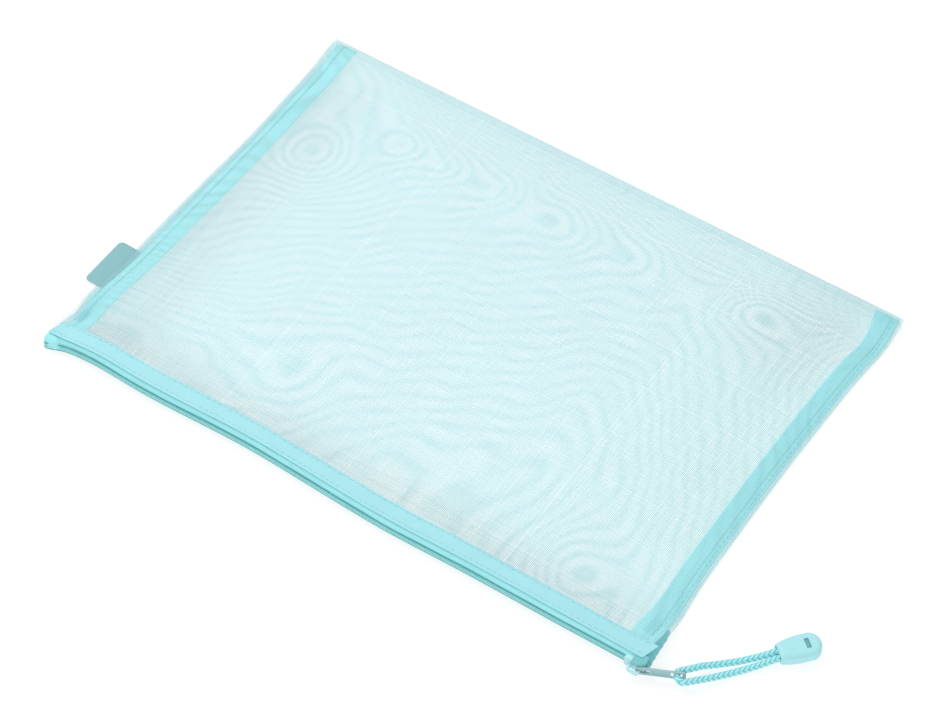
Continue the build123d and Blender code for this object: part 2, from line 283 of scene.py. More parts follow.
def waved(points):
    """The sewn sides wander: X moves by Gaussian waves along Y, times |x / half width| ^ 8.

    The front edge moves with the zip's line, which fades out behind the facing."""
    x, y = points[..., 0], points[..., 1]
    push = np.where(x < 0, -waves(y, LEFT_WAVES), waves(y, RIGHT_WAVES))
    push = push * np.abs(x / HALF_WIDTH) ** SIDE_POWER
    back_y, run = -86, 24
    shift = zip_bow(x) * ease((back_y - y) / run)
    return xyz(x + push, y + shift, points[..., 2])


def painted_seam_shade(x, y):
    """Painted shade of the gauze: 1 in the open, darker by the left seam, zip, fold and far right corner."""
    left = LEFT_SHADE * hump(x, -141, 12) * ease((120 - y) / 60)
    front = FRONT_SHADE * hump(y, -105, 9)
    corner = CORNER_SHADE * mound(x, y, 134, 84, 24)
    back = FOLD_SHADE * ease((y - 70) / 25)
    beside_binding = ease((156 - np.abs(x)) / 10)
    return 1 - left - back - (front + corner) * beside_binding


def broad_beats(x, y):
    """Fringes without the rings, counted from the zip: two slanting planes that meet softly on the right.

    They are level near the zip and fall again by a cube towards the fold. Sine waves set them wandering."""
    level_y, level_run, ridge_x = -48, 18, 75
    rise = level_run * np.log1p(np.exp((y - level_y) / level_run))
    lean = 0.35 + 0.65 * ease((y + 100) / 70)
    left = 0.112 * rise - 0.075 * lean * (x - ridge_x)
    right = 0.085 * rise + 0.137 * (x - ridge_x) + 1.2
    fall_y, fall_run = 38, 67
    fall = (10 - 4 * ease((-x - 60) / 70)) * np.clip((y - fall_y) / fall_run, 0, None) ** 3
    wander = 0.6 * np.sin(x / 21 + 0.9 * np.sin(y / 29)) * np.cos(y / 25 + x / 60)
    ripple = 0.13 * np.sin(x / 4.3 - y / 9.1) + 0.12 * np.sin(x / 6.1 + y / 17 + 1.3)
    return np.logaddexp(left, right) - fall + wander + ripple


def beats(x, y):
    """Number of fringes: the broad planes, levelled and raised to a dark middle inside each ring."""
    step = 3
    count = broad_beats(x, y)
    for middle_x, middle_y, radius, rise in RINGS:
        ground = broad_beats(middle_x, middle_y)
        rise_x = broad_beats(middle_x + step, middle_y) - broad_beats(middle_x - step, middle_y)
        rise_y = broad_beats(middle_x, middle_y + step) - broad_beats(middle_x, middle_y - step)
        tilt = (rise_x * (x - middle_x) + rise_y * (y - middle_y)) / (2 * step)
        count = count - tilt * mound(x, y, middle_x, middle_y, 1.5 * radius)
        top = np.floor(ground + rise) + 0.5
        count = count + (top - ground) * mound(x, y, middle_x, middle_y, radius)
    return count


def crowding(x, y):
    """How much wider the upper threads are: towards the fold, the zip and the sides, and in broken fringes.

    The fringes stand for the beats of two fine layers, which threads of this size can't give by themselves.
    They are cosines with narrow dark crests, stronger at the rings and in patches that lie aslant."""
    fold = 0.6 * ease((y - 105) / 14) + 0.1 * ease((-60 - y) / 20)
    sides = 0.08 * hump(x, -140, 14) * ease((90 - y) / 40) + 0.2 * hump(x, 142, 18) * ease((y + 80) / 60)
    cosine, sine = 0.829, 0.56
    along = cosine * x + sine * y
    across = cosine * y - sine * x
    patch = 0.6 + 0.4 * np.sin(along / 4.6 + 1.6 * np.sin(across / 7.7)) * np.sin(across / 15 + along / 31)
    for middle_x, middle_y, radius, _ in RINGS:
        patch = patch + 0.7 * mound(x, y, middle_x, middle_y, 1.2 * radius)
    turn = 2 * np.pi * beats(x, y)
    return 1 + fold + sides + FRINGE * patch * (0.3 * np.cos(2 * turn) - np.cos(turn))


def grid_of(down, across):
    """Two rows of values as a grid: the first runs down its rows, the second across its columns."""
    return np.meshgrid(down, across, indexing="ij")


def xyz(x, y, z):
    """Points or directions from their three coordinates."""
    return np.stack([x, y, z], axis=-1)


def once_round(count):
    """Even angles of one full turn."""
    return np.linspace(0, 2 * np.pi, count, endpoint=False)


def grid_quads(rows, columns, wrap=False):
    """Corner indices of the quads of a grid, closed round its columns if wrapped."""
    index = np.arange(rows * columns).reshape(rows, columns)
    if wrap:
        index = np.concatenate([index, index[:, :1]], axis=1)
    corners = (index[:-1, :-1], index[1:, :-1], index[1:, 1:], index[:-1, 1:])
    return np.stack([c.ravel() for c in corners], axis=1)


def joined(shapes):
    """Several (points, quads) pairs as one."""
    starts = np.cumsum([0] + [len(points) for points, _ in shapes[:-1]])
    points = np.concatenate([p for p, _ in shapes])
    quads = np.concatenate([q + s for (_, q), s in zip(shapes, starts)])
    return points, quads


def tidy(points, quads):
    """Only the points that a quad uses."""
    used, inverse = np.unique(quads, return_inverse=True)
    return points[used], inverse.reshape(quads.shape)


def ribbons(centre, across, width, keep=None):
    """Flat threads: each row of centre points, widened by half the width to both sides along across.

    A fourth column runs from -1 to 1 across each thread, and a fifth is the gauze's painted shade there."""
    half = np.broadcast_to(np.asarray(across, float), centre.shape) * width / 2
    points = np.stack([centre - half, centre + half], axis=2)
    edge = np.broadcast_to(np.array([[-1.0], [1.0]]), points.shape[:3] + (1,))
    tone = painted_seam_shade(points[..., :1], points[..., 1:2])
    index = np.arange(points[..., 0].size).reshape(points.shape[:3])
    quads = np.stack([index[:, :-1, 0], index[:, :-1, 1], index[:, 1:, 1], index[:, 1:, 0]], axis=-1)
    quads = quads.reshape(-1, 4) if keep is None else quads[keep]
    return tidy(np.concatenate([points, edge, tone], axis=-1).reshape(-1, 5), quads)


def slab(top, bottom):
    """A closed sheet between two grids of points, with four walls."""
    rows, columns = top.shape[:2]
    size = rows * columns
    quads = grid_quads(rows, columns)
    index = np.arange(size).reshape(rows, columns)
    rim = np.concatenate([index[:-1, 0], index[-1, :-1], index[:0:-1, -1], index[0, :0:-1]])
    after = np.roll(rim, -1)
    walls = np.stack([rim, rim + size, after + size, after], axis=1)
    points = np.concatenate([top.reshape(-1, 3), bottom.reshape(-1, 3)])
    return points, np.concatenate([quads, quads[:, ::-1] + size, walls])


def tube(path, radius, sides, first_side):
    """A round tube: circles across the path, which start from a side vector that is made square to it."""
    along = np.gradient(path, axis=0)
    along /= np.linalg.norm(along, axis=1, keepdims=True)
    side = first_side - (first_side * along).sum(1, keepdims=True) * along
    side /= np.linalg.norm(side, axis=1, keepdims=True)
    up = np.cross(along, side)
    turn = once_round(sides)
    ring = np.cos(turn)[None, :, None] * side[:, None] + np.sin(turn)[None, :, None] * up[:, None]
    return path[:, None] + ring * np.broadcast_to(radius, (len(path), sides))[..., None]


def capped(points):
    """A tube's grid of points as one closed shape, with its ends drawn in to their middles."""
    first = np.broadcast_to(points[:1].mean(axis=1, keepdims=True), points[:1].shape)
    last = np.broadcast_to(points[-1:].mean(axis=1, keepdims=True), points[-1:].shape)
    rings = np.concatenate([first, points, last])
    return rings.reshape(-1, rings.shape[2]), grid_quads(*rings.shape[:2], wrap=True)[:, ::-1]


def add_piece(name, shape, finish, uv=None):
    """A smooth mesh object with crisp rims, from millimetre points and quads.

    A fourth and a fifth column become its profile and tone attributes."""
    points, quads = shape
    mesh = bpy.data.meshes.new(name)
    mesh.vertices.add(len(points))
    mesh.vertices.foreach_set("co", (points[:, :3] * MM).astype(np.float32).ravel())
    mesh.loops.add(quads.size)
    mesh.loops.foreach_set("vertex_index", quads.astype(np.int32).ravel())
    mesh.polygons.add(len(quads))
    mesh.polygons.foreach_set("loop_start", np.arange(0, quads.size, 4, dtype=np.int32))
    mesh.update(calc_edges=True)
    mesh.validate()
    mesh.shade_smooth()
    mesh.set_sharp_from_angle(angle=math.radians(70))
    if uv is not None:
        layer = mesh.uv_layers.new(name="UVMap")
        layer.data.foreach_set("uv", uv[quads.ravel()].astype(np.float32).ravel())
    for key, values in zip(("profile", "tone"), points.T[3:]):
        attribute = mesh.attributes.new(key, "FLOAT", "POINT")
        attribute.data.foreach_set("value", values.astype(np.float32))
    mesh.materials.append(finish)
    piece = bpy.data.objects.new(name, mesh)
    bpy.context.scene.collection.objects.link(piece)
    return piece


def bow(piece):
    """Bake the piece's placement into its points."""
    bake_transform(piece)


def add_node(material, kind, sockets=None, **settings):
    """Add a shader node with its settings, and fill each named input with a value or a link."""
    node = material.node_tree.nodes.new(kind)
    for key, value in settings.items():
        setattr(node, key, value)
    for key, value in (sockets or {}).items():
        if isinstance(value, bpy.types.NodeSocket):
            material.node_tree.links.new(value, node.inputs[key])
        else:
            node.inputs[key].default_value = value
    return node


def new_material(name):
    """An empty node material."""
    material = bpy.data.materials.new(name)
    material.use_nodes = True
    material.node_tree.nodes.clear()
    return material


def finished(material, **sockets):
    """Close a material with a Principled shader."""
    named = {key.replace("_", " ").title().replace("Ior", "IOR"): value for key, value in sockets.items()}
    shader = add_node(material, "ShaderNodeBsdfPrincipled", named)
    add_node(material, "ShaderNodeOutputMaterial", {"Surface": shader.outputs[0]})
    return material


def shade(rgb, factor):
    """A colour made lighter or darker, with its alpha."""
    return tuple(min(c * factor, 1.0) for c in rgb) + (1.0,)


def wave_scale(millimetres):
    """Scale that gives Blender's wave bands a period of this size."""
    return 0.1 * math.pi / (millimetres * MM)


def object_place(material):
    """Place on the piece, in metres."""
    return add_node(material, "ShaderNodeTexCoord").outputs["Object"]


def carried(material, name):
    """A value that the mesh carries at its points."""
    return add_node(material, "ShaderNodeAttribute", attribute_name=name).outputs["Fac"]


def worked_out(material, operation, first, second):
    """One step of arithmetic on two values."""
    return add_node(material, "ShaderNodeMath", {0: first, 1: second}, operation=operation).outputs[0]


def noise(material, place, millimetres, detail):
    """Soft clouds of about this size."""
    sockets = {"Vector": place, "Scale": 1 / (millimetres * MM), "Detail": detail}
    return add_node(material, "ShaderNodeTexNoise", sockets).outputs[0]


def mixed(material, share, first, second):
    """A colour between two, by a share from 0 to 1."""
    return add_node(material, "ShaderNodeMix", {0: share, 6: first, 7: second}, data_type="RGBA").outputs[2]


def raised(material, height, strength, millimetres):
    """Fine relief of about this depth."""
    sockets = {"Strength": strength, "Distance": millimetres * MM, "Height": height}
    return add_node(material, "ShaderNodeBump", sockets).outputs[0]


def nylon_gauze(colours):
    """Dyed nylon filament, woven open and heat-set: threads thin to their soft sides, with a low gloss."""
    material = new_material("nylon_gauze")
    place = object_place(material)
    cloud = noise(material, place, 28, 3.0)
    tone = mixed(material, cloud, shade(colours.gauze, 0.93), shade(colours.gauze, 1.07))
    # The carried tone darkens the gauze's colour as painted shade near the seams, the zip, the fold and the
    # far right corner
    sockets = {0: tone, "Scale": carried(material, "tone")}
    shaded = add_node(material, "ShaderNodeVectorMath", sockets, operation="SCALE").outputs[0]
    across = carried(material, "profile")
    square = worked_out(material, "MULTIPLY", across, across)
    inside = worked_out(material, "SUBTRACT", 1.0, square)
    body = worked_out(material, "POWER", inside, 4.0)
    return finished(material, base_color=shaded, roughness=0.4, ior=1.53, alpha=body)


def woven_cloth(name, rgb, pitch, gloss, depth):
    """Plain-woven polyester: fine crossing ribs with a satin sheen.

    The ribs are drawn coarser than the real ones, which lie about 0.3 mm apart, so that they show."""
    material = new_material(name)
    place = object_place(material)
    ribs = [
        add_node(
            material, "ShaderNodeTexWave", {"Vector": place, "Scale": wave_scale(pitch), "Distortion": 0.6},
            bands_direction=direction,
        ).outputs["Fac"]
        for direction in "XY"
    ]
    weave = worked_out(material, "MULTIPLY", *ribs)
    cloud = noise(material, place, 9, 4.0)
    blend = worked_out(material, "ADD", weave, cloud)
    share = worked_out(material, "MULTIPLY", blend, 0.6)
    tone = mixed(material, share, shade(rgb, 0.9), shade(rgb, 1.06))
    relief = raised(material, weave, 0.35, depth)
    return finished(material, base_color=tone, roughness=gloss, sheen_weight=0.15, normal=relief)


def moulded(name, rgb, gloss, coat=0.0):
    """Moulded or painted skin: even colour with a faint grain of about 0.6 mm and small changes of gloss."""
    material = new_material(name)
    place = object_place(material)
    grain = noise(material, place, 0.6, 2.0)
    cloud = noise(material, place, 6, 3.0)
    tone = mixed(material, cloud, shade(rgb, 0.95), shade(rgb, 1.04))
    spread = 0.06
    rough = add_node(
        material, "ShaderNodeMapRange", {"Value": cloud, "To Min": gloss - spread, "To Max": gloss + spread}
    ).outputs[0]
    relief = raised(material, grain, 0.12, 0.05)
    return finished(material, base_color=tone, roughness=rough, coat_weight=coat, normal=relief)


def braided_polyester(colours):
    """Braided polyester yarn: painted light on crowns, painted shade in gaps between strands, fine fibres on
    each strand.
    """
    material = new_material("braided_polyester")
    crown = carried(material, "profile")
    map_uv = add_node(material, "ShaderNodeUVMap", uv_map="UVMap").outputs[0]
    fibre = add_node(
        material, "ShaderNodeTexWave", {"Vector": map_uv, "Scale": 14.0, "Distortion": 1.0},
        bands_direction="DIAGONAL",
    )
    # Painted light and shade: the cord's own colour, darker in the gaps between strands and lighter on their
    # crowns
    tone = mixed(material, crown, shade(colours.cord, 0.25), shade(colours.cord, 1.15))
    relief = raised(material, fibre.outputs["Fac"], 0.25, 0.08)
    return finished(material, base_color=tone, roughness=0.55, sheen_weight=0.2, normal=relief)


def opal_light_table():
    """Opal plastic, matt and lit from inside, so that the shadows on it stay pale."""
    material = new_material("opal_light_table")
    place = object_place(material)
    cloud = add_node(material, "ShaderNodeTexNoise", {"Vector": place, "Scale": 3.0}).outputs[0]
    tone = mixed(material, cloud, (0.29, 0.29, 0.29, 1), (0.31, 0.31, 0.31, 1))
    return finished(
        material, base_color=tone, roughness=0.95, specular_ior_level=0.0,
        emission_color=(1, 1, 1, 1), emission_strength=0.74,
    )


class WALLET_OT_stage(Operator):
    """Lay a plain floor, soft light and the camera."""

    bl_idname = "wallet.stage"
    bl_label = "Stage"

    def execute(self, context):
        scene = context.scene
        reach, count, below = 6000.0, 9, 0.3
        flat = np.linspace(-reach, reach, count)
        x, y = grid_of(flat, flat)
        points = xyz(x, y, np.full_like(x, -below)).reshape(-1, 3)
        floor_white = opal_light_table()
        add_piece("floor", (points, grid_quads(count, count)), floor_white)

        world = bpy.data.worlds.new("soft_white_room")
        world.use_nodes = True
        sky = world.node_tree.nodes["Background"]
        sky.inputs["Color"].default_value = (1, 1, 1, 1)
        sky.inputs["Strength"].default_value = 0.62
        scene.world = world
        for name, spot, size, power in (
            ("key_softbox", (-1.1, 0.5, 1.7), 1.6, 20.0),
            ("fill_softbox", (0.8, -1.5, 1.2), 1.4, 9.0),
        ):
            lamp = bpy.data.lights.new(name, "AREA")
            lamp.energy = power
            lamp.size = size
            holder = bpy.data.objects.new(name, lamp)
            holder.location = spot
            holder.rotation_euler = Vector(spot).to_track_quat("Z", "Y").to_euler()
            scene.collection.objects.link(holder)

        lens = bpy.data.cameras.new("photo_camera")
        lens.sensor_width = 36.0
        lens.angle = math.radians(CAMERA_VIEW)
        lens.clip_start, lens.clip_end = 0.05, 50.0
        camera = bpy.data.objects.new("photo_camera", lens)
        camera.location = CAMERA_PLACE
        camera.rotation_euler = [math.radians(turn) for turn in CAMERA_TURN]
        scene.collection.objects.link(camera)
        scene.camera = camera
        scene.view_settings.view_transform = "Standard"
        return {"FINISHED"}


class WALLET_OT_pull_cord(Operator):
    """Braid the looped cord along its route."""

    bl_idname = "wallet.pull_cord"
    bl_label = "Pull cord"

    def execute(self, context):
        sizes = context.scene.wallet_sizes
        data = bpy.data.curves.new("cord_route", "CURVE")
        data.dimensions = "3D"
        spline = data.splines.new("NURBS")
        spline.points.add(len(CORD_ROUTE) - 1)
        spline.points.foreach_set("co", np.c_[CORD_ROUTE, np.ones(len(CORD_ROUTE))].ravel())
        spline.order_u = 3
        spline.use_endpoint_u = True
        spline.resolution_u = 24
        route = bpy.data.objects.new("cord_route", data)
        context.scene.collection.objects.link(route)
        line = bpy.data.meshes.new_from_object(route)
        path = np.empty(len(line.vertices) * 3)
        line.vertices.foreach_get("co", path)
        path = path.reshape(-1, 3) / MM
        bpy.data.objects.remove(route)
        bpy.data.meshes.remove(line)

        run = np.r_[0, np.cumsum(np.linalg.norm(np.diff(path, axis=0), axis=1))]
        pitch, radius = sizes.braid_pitch / MM, sizes.cord_diameter / MM / 2
        sides, rings_per_pitch = 32, 14
        along = np.arange(0, run[-1], pitch / rings_per_pitch)
        path = np.stack([np.interp(along, run, path[:, k]) for k in range(3)], axis=1)
        # Strands lie in four columns round the cord and slant to and fro, which gives rows of chevrons
        turn = once_round(sides)
        slant = 2 / np.pi * np.arcsin(np.sin(2 * turn))
        lean, roundness, column_gap = 0.55, 0.4, 0.2
        cell = np.abs(np.cos(np.pi * (along[:, None] / pitch + lean * slant)))
        relief = cell ** roundness * (1 - column_gap * slant ** 8)
        core_share, strand_share = 0.78, 0.26
        points = tube(path, radius * (core_share + strand_share * relief), sides, UPWARDS)
        round_share = turn / (2 * np.pi)
        uv = np.stack(np.broadcast_arrays(round_share, along[:, None] / (2 * np.pi * radius)), axis=-1)
        shape, quads = capped(np.concatenate([points, relief[..., None], uv], axis=-1))
        finish = braided_polyester(context.scene.wallet_colours)
        cord = add_piece("cord", (shape[:, :4], quads), finish, uv=shape[:, 4:])
        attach(cord, "cord")
        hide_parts("pull_cord")
        return {"FINISHED"}


class WALLET_OT_fittings(Operator):
    """Finish the cast slider, its tab, and the moulded cord end."""

    bl_idname = "wallet.fittings"
    bl_label = "Slider, tab and cord end"

    def execute(self, context):
        colours = context.scene.wallet_colours
        for node, finish in (
            ("slider_body", moulded("painted_zinc_slider", colours.metal, 0.3, 0.4)),
            ("pull_tab", moulded("painted_zinc_tab", colours.tab, 0.32, 0.4)),
            ("cord_end_shell", moulded("satin_acetal", colours.moulding, 0.45)),
            ("cord_end_plug", moulded("satin_acetal_plug", colours.plug, 0.5)),
        ):
            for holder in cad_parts[node].material_slots:
                holder.material = finish
        return {"FINISHED"}


class WALLET_OT_gauze(Operator):
    """Weave the upper and lower gauze as crossing threads."""

    bl_idname = "wallet.gauze"
    bl_label = "Gauze panels"

    def uneven(self, places, pitch):
        """Threads set a little off their places, by a share of the pitch, as a loom leaves them."""
        return places + np.random.default_rng(len(places)).normal(0, LOOM_ERROR * pitch, len(places))

    def upper(self, side, pitch, width):
        """Half of the upper gauze: threads at a steady pitch on the crown, run on a little over the fold."""
        flat = np.linspace(FRONT_Y, FOLD_Y, 121)
        run_on, clearance = 20, 0.05
        bend = np.radians(90 - np.linspace(0, run_on, 5)[1:])
        roll = FOLD_RADIUS - clearance
        y = np.concatenate([flat, FOLD_Y + roll * np.cos(bend)])
        drop = np.concatenate([np.zeros(len(flat)), roll * (np.sin(bend) - 1)])
        places = side * self.uneven(np.arange(pitch / 2, SEAM_REACH, pitch), pitch)
        x, yy = grid_of(places, y)
        z = upper_z(x, np.minimum(yy, FOLD_Y)) + MESH_THICKNESS / 2 + drop
        wide = width * crowding(x, yy)[..., None]
        warps = ribbons(waved(xyz(x, yy, z)), (1, 0, 0), wide)
        # Points along a weft lie closer towards the side, where the crown falls away
        share = 1 - (1 - np.linspace(0, 1, 85)) ** 1.2
        places = self.uneven(np.arange(FRONT_Y + pitch / 2, FOLD_Y, pitch), pitch)
        yy, x = grid_of(places, side * SEAM_REACH * share)
        z = upper_z(x, yy) + MESH_THICKNESS / 2 + WEFT_RISE
        wide = width * crowding(x, yy)[..., None]
        wefts = ribbons(waved(xyz(x, yy, z)), (0, -side, 0), wide)
        return joined([warps, wefts])

    def lower(self, pitch, width):
        """The lower gauze: threads that show between the upper ones, rolled up at the fold and the sides."""
        roll = FOLD_RADIUS - MESH_THICKNESS / 2
        # The step over the facing ends here in Y, and the roll at the fold ends at this angle
        step_end, roll_end = FLAT_BACK_Y + 3, 72
        flat = np.concatenate([np.linspace(FRONT_Y, step_end, 9), np.linspace(step_end, FOLD_Y, 42)[1:]])
        bend = np.radians(np.linspace(-90, roll_end, 13)[1:])
        y = np.concatenate([flat, FOLD_Y + roll * np.cos(bend)])
        z = np.concatenate([lower_z(flat), FOLD_RADIUS + roll * np.sin(bend)])
        # Threads are numbered a little past the edges, and cut off there once they have their places
        spare = 12
        number = np.arange(-(SEAM_REACH + spare) // pitch, (SEAM_REACH + spare) // pitch)
        number, yy = grid_of(self.uneven(number, 1), y)
        x = self.between(number, np.minimum(yy, FOLD_Y), 0, pitch)
        keep = np.abs(x[:, :-1] + x[:, 1:]) / 2 < SEAM_REACH
        points = xyz(x, yy, np.broadcast_to(z, x.shape))
        shapes = [ribbons(waved(points), (1, 0, 0), width, keep)]

        share = np.linspace(-1, 1, 61)
        number = np.arange(-spare // pitch, (FOLD_Y - FRONT_Y + spare) // pitch)
        number, x = grid_of(self.uneven(number, 1), SEAM_REACH * share)
        yy = self.between(number, x, 1, pitch)
        z = lower_z(yy) + WEFT_RISE
        wall_share = np.linspace(0, 1, 7)[1:]
        for side, end in ((-1, 0), (1, -1)):
            wall_y = np.repeat(yy[:, [end]], len(wall_share), axis=1)
            wall_x, wall_z = self.wall(side, wall_y, wall_share)
            grids = zip((x, yy, z), (wall_x, wall_y, wall_z))
            rows = ([flat, wall] if side > 0 else [wall[:, ::-1], flat] for flat, wall in grids)
            x, yy, z = (np.concatenate(row, axis=1) for row in rows)
        middle = (yy[:, :-1] + yy[:, 1:]) / 2
        keep = (middle > FRONT_Y) & (middle < FOLD_Y)
        shapes.append(ribbons(waved(xyz(x, yy, z)), (0, -1, 0), width, keep))

        turn = np.arange(-np.pi / 2 + 0.2, np.radians(roll_end), pitch / roll / 2)
        bend, x = grid_of(turn, np.linspace(-HALF_WIDTH, HALF_WIDTH, 41))
        points = xyz(x, FOLD_Y + roll * np.cos(bend), FOLD_RADIUS + roll * np.sin(bend))
        lean = xyz(0 * bend, np.sin(bend), -np.cos(bend))
        shapes.append(ribbons(waved(points), lean, width * (1.2 + 0.3 * np.sin(bend))[..., None]))

        for side in (-1, 1):
            ys = np.linspace(FACING_BACK_Y, FOLD_Y, 61)
            rise, yy = grid_of(np.linspace(0.1, 0.9, 6), ys)
            x, z = self.wall(side, yy, rise)
            lean = xyz(side * np.cos(np.pi * rise), 0 * rise, np.sin(np.pi * rise))
            shapes.append(ribbons(waved(xyz(x, yy, z)), side * lean, width))
            shapes += [self.allowance(side, depth, pitch, width) for depth in (0.5, 0.8)]
        return joined(shapes)

    def allowance(self, side, depth, pitch, width):
        """One layer of the seam allowance: gauze turned in along the side seam, under the upper gauze."""
        turned_in = 8
        start = SEAM_REACH - turned_in
        across = self.uneven(np.arange(start, SEAM_REACH, pitch), pitch) + depth / 2
        x, y = grid_of(side * across, np.linspace(FACING_BACK_Y, FOLD_Y, 61))
        warps = ribbons(waved(xyz(x, y, upper_z(x, y) - depth)), (1, 0, 0), width)
        along = self.uneven(np.arange(FACING_BACK_Y, FOLD_Y, pitch), pitch)
        y, x = grid_of(along, side * np.linspace(start, SEAM_REACH, 4))
        wefts = ribbons(waved(xyz(x, y, upper_z(x, y) - depth)), (0, -side, 0), width)
        return joined([warps, wefts])

    def between(self, number, across, axis, pitch):
        """Place of each lower thread: a quarter pitch from an upper one, as the viewer sees them.

        It lies where the slanting line of sight through the upper layer meets the lower one, found in a few
        steps."""
        offset, steps = 0.25, 3
        above = [across, across]
        above[axis] = (0.0, FRONT_Y)[axis] + pitch * (number + offset)
        for _ in range(steps):
            x = np.clip(above[0], -HALF_WIDTH, HALF_WIDTH)
            y = np.clip(above[1], FRONT_Y, FOLD_Y)
            gap = upper_z(x, y) / (VIEWER[2] - upper_z(x, y))
            above[1 - axis] = across - ((y, x)[axis] - VIEWER[1 - axis]) * gap
        return above[axis] + (above[axis] - VIEWER[axis]) * gap

    def wall(self, side, y, share):
        """The rolled side, from the lower gauze out and up to the upper one: half an ellipse in X and Z."""
        top = upper_z(SEAM_REACH, y) + MESH_THICKNESS / 2
        low = lower_z(y)
        x = side * (SEAM_REACH + SEAM_ROLL * np.sin(np.pi * share)) + 0 * y
        return x, low + (top - low) * (1 - np.cos(np.pi * share)) / 2

    def execute(self, context):
        sizes = context.scene.wallet_sizes
        pitch, width = sizes.thread_pitch / MM, sizes.thread_width / MM
        finish = nylon_gauze(context.scene.wallet_colours)
        for side, name in ((-1, "gauze_upper_left"), (1, "gauze_upper_right")):
            piece = add_piece(name, self.upper(side, pitch, width), finish)
            bow(piece)
            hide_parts("mesh_upper_panel")
        lower = add_piece("gauze_lower", self.lower(pitch, width), finish)
        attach(lower, "pouch")
        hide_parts("mesh_lower_panel")
        return {"FINISHED"}


class WALLET_OT_bindings(Operator):
    """Lay the folded binding tapes along the side seams, under the upper gauze."""

    bl_idname = "wallet.bindings"
    bl_label = "Side bindings"

    @staticmethod
    def edges(side, y):
        """Distance of a tape's two edges from the middle: Gaussian waves and soft steps along Y."""
        inner, outer = BINDING[0, 0] + 0 * y, BINDING[1, 0] + 0 * y
        if side < 0:
            inner = inner - 1.8 * hump(y, 5, 40) + 0.7 * hump(y, -88, 15)
            return inner, outer - 0.9 * hump(y, -20, 25) + 0.9 * hump(y, -88, 15)
        inner = inner + 2.0 + 1.5 * hump(y, 97, 9) - 1.6 * ease((y - 106) / 10)
        return inner, outer + 2.0 + 1.6 * ease((-86 - y) / 16) + 0.8 * hump(y, 106, 12)

    def execute(self, context):
        finish = woven_cloth("satin_binding_tape", context.scene.wallet_colours.binding, 0.8, 0.5, 0.06)
        for side, name, node in (
            (-1, "binding_left", "left_side_binding"), (1, "binding_right", "right_side_binding"),
        ):
            ys = np.linspace(FACING_BACK_Y - 0.6, FOLD_Y + 1.2, 97)
            y, share = grid_of(ys, side * np.linspace(-1, 1, 33))
            inner, outer = self.edges(side, y)
            x = side * ((inner + outer) / 2 + share * (outer - inner) / 2)
            # It hangs under the gauze, thins to its edges, has a groove at its seam and falls at the fold
            gap, thickness = 0.3, 0.9
            thin = 0.25 * np.abs(share) ** 10
            groove = 0.3 * np.exp(-((np.abs(x) - outer + SEAM_INSET) / 0.45) ** 2)
            fall = 0.25 * np.clip(y - FOLD_Y + 1, 0, None) ** 2
            hung = upper_z(x, np.minimum(y, FOLD_Y)) - gap - fall
            top = waved(xyz(x, y, hung - thin - groove))
            under = waved(xyz(x, y, hung - thickness + thin))
            piece = add_piece(name, slab(top[:, ::-1], under[:, ::-1]), finish)
            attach(piece, "pouch")
            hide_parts(node)
        return {"FINISHED"}


class WALLET_OT_facings(Operator):
    """Lay the cloth facings over and under the gauze along the zip."""

    bl_idname = "wallet.facings"
    bl_label = "Zip facings"

    def band(self, xs, low, high, ripple):
        """A flat band from front to back. Its faces close together towards the edges by the 8th power.

        With a ripple it has slanted ends, sine waves of that height and the zip's droop at the left end."""
        x, share = grid_of(xs, np.linspace(-1, 1, 15))
        slant = 2.2 if ripple else 0.0
        x = x + slant * ease((np.abs(x) - 140) / 27) * (share + 1) / 2
        y = (FRONT_Y + FACING_BACK_Y) / 2 + share * (FACING_BACK_Y - FRONT_Y) / 2
        y = y + 0.25 * np.sin(x / 21) * (share + 1) / 2
        pucker = ripple * np.sin(2 * np.pi * x / 6.4) * np.exp(-((share - 0.7) / 0.25) ** 2)
        soft = ripple * np.sin(x / 13 + 0.6) * np.sin(x / 5.3)
        sag = droop(x, y) if ripple else 0
        top = high - 0.14 * np.abs(share) ** 8 + pucker + soft - sag
        under = low + 0.1 * np.abs(share) ** 8 + pucker + soft - sag
        return slab(waved(xyz(x, y, top)), waved(xyz(x, y, under)))

    def execute(self, context):
        finish = woven_cloth("satin_facing_cloth", context.scene.wallet_colours.facing, 0.8, 0.5, 0.06)
        for side, name in ((-1, "upper_facing_left"), (1, "upper_facing_right")):
            xs = np.linspace(0, HALF_WIDTH, 180) if side > 0 else np.linspace(-HALF_WIDTH, 0, 180)
            piece = add_piece(name, self.band(xs, FACING[0, 2], FACING[1, 2], 0.06), finish)
            bow(piece)
            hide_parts("upper_zip_facing")
        lower = self.band(np.linspace(-HALF_WIDTH, HALF_WIDTH, 180), 0.0, LOWER_FACING[1, 2], 0.0)
        piece = add_piece("lower_facing", lower, finish)
        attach(piece, "pouch")
        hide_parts("lower_zip_facing")
        return {"FINISHED"}


